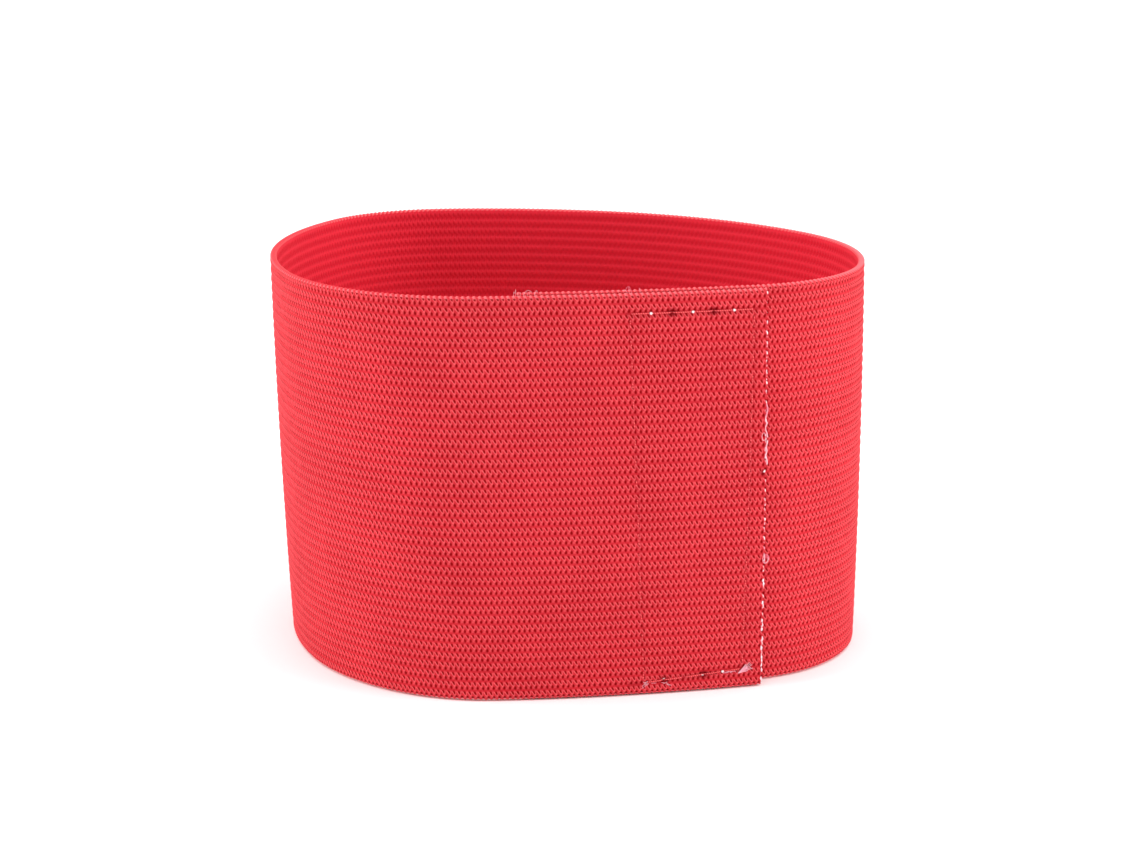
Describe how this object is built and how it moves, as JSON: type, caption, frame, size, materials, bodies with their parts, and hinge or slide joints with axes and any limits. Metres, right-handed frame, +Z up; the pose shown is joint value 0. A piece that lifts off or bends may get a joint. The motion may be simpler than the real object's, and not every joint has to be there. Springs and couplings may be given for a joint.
{
  "type": "elastic armband",
  "caption": "Wide ribbed elastic armband, closed into a loop by a hook-and-loop flap that peels open and lets the band open out.",
  "frame": {"origin": "centre of the outline's box, on the surface that the lower edge stands on", "axes": "+Z up the width of the webbing; +X the long way across the loop, towards the flap's free end; -Y faces the side with the closure"},
  "size_m": [0.1214, 0.1032, 0.08],
  "materials": {
    "webbing": "matte ribbed weave with a soft sheen",
    "rubber": "matt",
    "loop_tape": "plain woven ground",
    "loop_pile": "soft brushed loops",
    "hook_tape": "plain woven ground",
    "hooks": "slightly glossy nylon",
    "sewing_thread": "twisted polyester thread"
  },
  "bodies": {
    "underlap": {"webbing_underlap": "webbing", "rubber_underlap": "rubber", "loop_tape": "loop_tape", "loop_pile": "loop_pile", "loop_tape_seam": "sewing_thread"},
    "right_front_1": {"webbing_right_front_1": "webbing", "rubber_right_front_1": "rubber"},
    "right_front_2": {"webbing_right_front_2": "webbing", "rubber_right_front_2": "rubber"},
    "right_front_3": {"webbing_right_front_3": "webbing", "rubber_right_front_3": "rubber"},
    "right_end_1": {"webbing_right_end_1": "webbing", "rubber_right_end_1": "rubber"},
    "right_end_2": {"webbing_right_end_2": "webbing", "rubber_right_end_2": "rubber"},
    "back_right_1": {"webbing_back_right_1": "webbing", "rubber_back_right_1": "rubber"},
    "back_right_2": {"webbing_back_right_2": "webbing", "rubber_back_right_2": "rubber"},
    "back": {"webbing_back": "webbing", "rubber_back": "rubber"},
    "left_back_1": {"webbing_left_back_1": "webbing", "rubber_left_back_1": "rubber"},
    "left_back_2": {"webbing_left_back_2": "webbing", "rubber_left_back_2": "rubber"},
    "left_end_1": {"webbing_left_end_1": "webbing", "rubber_left_end_1": "rubber"},
    "left_end_2": {"webbing_left_end_2": "webbing", "rubber_left_end_2": "rubber"},
    "left_end_3": {"webbing_left_end_3": "webbing", "rubber_left_end_3": "rubber"},
    "left_front_1": {"webbing_left_front_1": "webbing", "rubber_left_front_1": "rubber"},
    "left_front_2": {"webbing_left_front_2": "webbing", "rubber_left_front_2": "rubber"},
    "left_front_3": {"webbing_left_front_3": "webbing", "rubber_left_front_3": "rubber"},
    "flap_1": {"webbing_flap_1": "webbing", "rubber_flap_1": "rubber"},
    "flap_2": {"webbing_flap_2": "webbing", "rubber_flap_2": "rubber"},
    "flap_3": {"webbing_flap_3": "webbing", "rubber_flap_3": "rubber", "hook_tape_3": "hook_tape", "hooks_3": "hooks", "hook_tape_seam_3": "sewing_thread"},
    "flap_4": {"webbing_flap_4": "webbing", "rubber_flap_4": "rubber", "hook_tape_4": "hook_tape", "hooks_4": "hooks", "hook_tape_seam_4": "sewing_thread"},
    "flap_5": {"webbing_flap_5": "webbing", "rubber_flap_5": "rubber", "hook_tape_5": "hook_tape", "hooks_5": "hooks", "hook_tape_seam_5": "sewing_thread"}
  },
  "joints": [
    {"name": "open_underlap", "type": "hinge", "parent": "right_front_1", "child": "underlap", "pos_m": [0.03759, -0.03904, 0], "axis": [0, 0, 1], "range_deg": [0, 8.9]},
    {"name": "open_right_front_1", "type": "hinge", "parent": "right_front_2", "child": "right_front_1", "pos_m": [0.04754, -0.03432, 0], "axis": [0, 0, 1], "range_deg": [0, 12.4]},
    {"name": "open_right_front_2", "type": "hinge", "parent": "right_front_3", "child": "right_front_2", "pos_m": [0.05519, -0.0264, 0], "axis": [0, 0, 1], "range_deg": [0, 12.4]},
    {"name": "open_right_front_3", "type": "hinge", "parent": "right_end_1", "child": "right_front_3", "pos_m": [0.05956, -0.01629, 0], "axis": [0, 0, 1], "range_deg": [0, 14]},
    {"name": "open_right_end_1", "type": "hinge", "parent": "right_end_2", "child": "right_end_1", "pos_m": [0.05956, 0.00382, 0], "axis": [0, 0, 1], "range_deg": [0, 15.6]},
    {"name": "open_right_end_2", "type": "hinge", "parent": "back_right_1", "child": "right_end_2", "pos_m": [0.05074, 0.0219, 0], "axis": [0, 0, 1], "range_deg": [0, 13.2]},
    {"name": "open_back_right_1", "type": "hinge", "parent": "back_right_2", "child": "back_right_1", "pos_m": [0.03267, 0.03816, 0], "axis": [0, 0, 1], "range_deg": [0, 10.8]},
    {"name": "open_back_right_2", "type": "hinge", "parent": "back", "child": "back_right_2", "pos_m": [0.01047, 0.04805, 0], "axis": [0, 0, 1], "range_deg": [0, 12]},
    {"name": "band_open", "type": "hinge", "parent": "back", "child": "left_back_1", "pos_m": [-0.02877, 0.05079, 0], "axis": [0, 0, -1], "range_deg": [0, 24.5]},
    {"name": "open_left_back_2", "type": "hinge", "parent": "left_back_1", "child": "left_back_2", "pos_m": [-0.0422, 0.04577, 0], "axis": [0, 0, -1], "range_deg": [0, 27]},
    {"name": "open_left_end_1", "type": "hinge", "parent": "left_back_2", "child": "left_end_1", "pos_m": [-0.05188, 0.03521, 0], "axis": [0, 0, -1], "range_deg": [0, 22.5]},
    {"name": "open_left_end_2", "type": "hinge", "parent": "left_end_1", "child": "left_end_2", "pos_m": [-0.05941, 0.01452, 0], "axis": [0, 0, -1], "range_deg": [0, 18]},
    {"name": "open_left_end_3", "type": "hinge", "parent": "left_end_2", "child": "left_end_3", "pos_m": [-0.06018, -0.00748, 0], "axis": [0, 0, -1], "range_deg": [0, 18]},
    {"name": "open_left_front_1", "type": "hinge", "parent": "left_end_3", "child": "left_front_1", "pos_m": [-0.05411, -0.02863, 0], "axis": [0, 0, -1], "range_deg": [0, 20.63]},
    {"name": "open_left_front_2", "type": "hinge", "parent": "left_front_1", "child": "left_front_2", "pos_m": [-0.04456, -0.04148, 0], "axis": [0, 0, -1], "range_deg": [0, 23.27]},
    {"name": "open_left_front_3", "type": "hinge", "parent": "left_front_2", "child": "left_front_3", "pos_m": [-0.03071, -0.04951, 0], "axis": [0, 0, -1], "range_deg": [0, 23.27]},
    {"name": "open_flap_1", "type": "hinge", "parent": "left_front_3", "child": "flap_1", "pos_m": [-0.01481, -0.05142, 0], "axis": [0, 0, -1], "range_deg": [0, 12.65]},
    {"name": "flap_peel", "type": "hinge", "parent": "flap_1", "child": "flap_2", "pos_m": [-0.00404, -0.05032, 0], "axis": [0, 0, -1], "range_deg": [0, 28]},
    {"name": "peel_flap_3", "type": "hinge", "parent": "flap_2", "child": "flap_3", "pos_m": [0.00667, -0.04884, 0], "axis": [0, 0, -1], "range_deg": [0, 28]},
    {"name": "peel_flap_4", "type": "hinge", "parent": "flap_3", "child": "flap_4", "pos_m": [0.01733, -0.04698, 0], "axis": [0, 0, -1], "range_deg": [0, 28]},
    {"name": "peel_flap_5", "type": "hinge", "parent": "flap_4", "child": "flap_5", "pos_m": [0.02792, -0.04474, 0], "axis": [0, 0, -1], "range_deg": [0, 28]}
  ],
  "couplings": [
    {"joint": "open_underlap", "follows": "band_open", "ratio": 0.36327},
    {"joint": "open_right_front_1", "follows": "band_open", "ratio": 0.50612},
    {"joint": "open_right_front_2", "follows": "band_open", "ratio": 0.50612},
    {"joint": "open_right_front_3", "follows": "band_open", "ratio": 0.57143},
    {"joint": "open_right_end_1", "follows": "band_open", "ratio": 0.63674},
    {"joint": "open_right_end_2", "follows": "band_open", "ratio": 0.53878},
    {"joint": "open_back_right_1", "follows": "band_open", "ratio": 0.44082},
    {"joint": "open_back_right_2", "follows": "band_open", "ratio": 0.4898},
    {"joint": "open_left_back_2", "follows": "band_open", "ratio": 1.102},
    {"joint": "open_left_end_1", "follows": "band_open", "ratio": 0.91837},
    {"joint": "open_left_end_2", "follows": "band_open", "ratio": 0.73469},
    {"joint": "open_left_end_3", "follows": "band_open", "ratio": 0.73469},
    {"joint": "open_left_front_1", "follows": "band_open", "ratio": 0.84218},
    {"joint": "open_left_front_2", "follows": "band_open", "ratio": 0.94966},
    {"joint": "open_left_front_3", "follows": "band_open", "ratio": 0.94966},
    {"joint": "open_flap_1", "follows": "band_open", "ratio": 0.51646},
    {"joint": "peel_flap_3", "follows": "flap_peel", "ratio": 1},
    {"joint": "peel_flap_4", "follows": "flap_peel", "ratio": 1},
    {"joint": "peel_flap_5", "follows": "flap_peel", "ratio": 1}
  ]
}
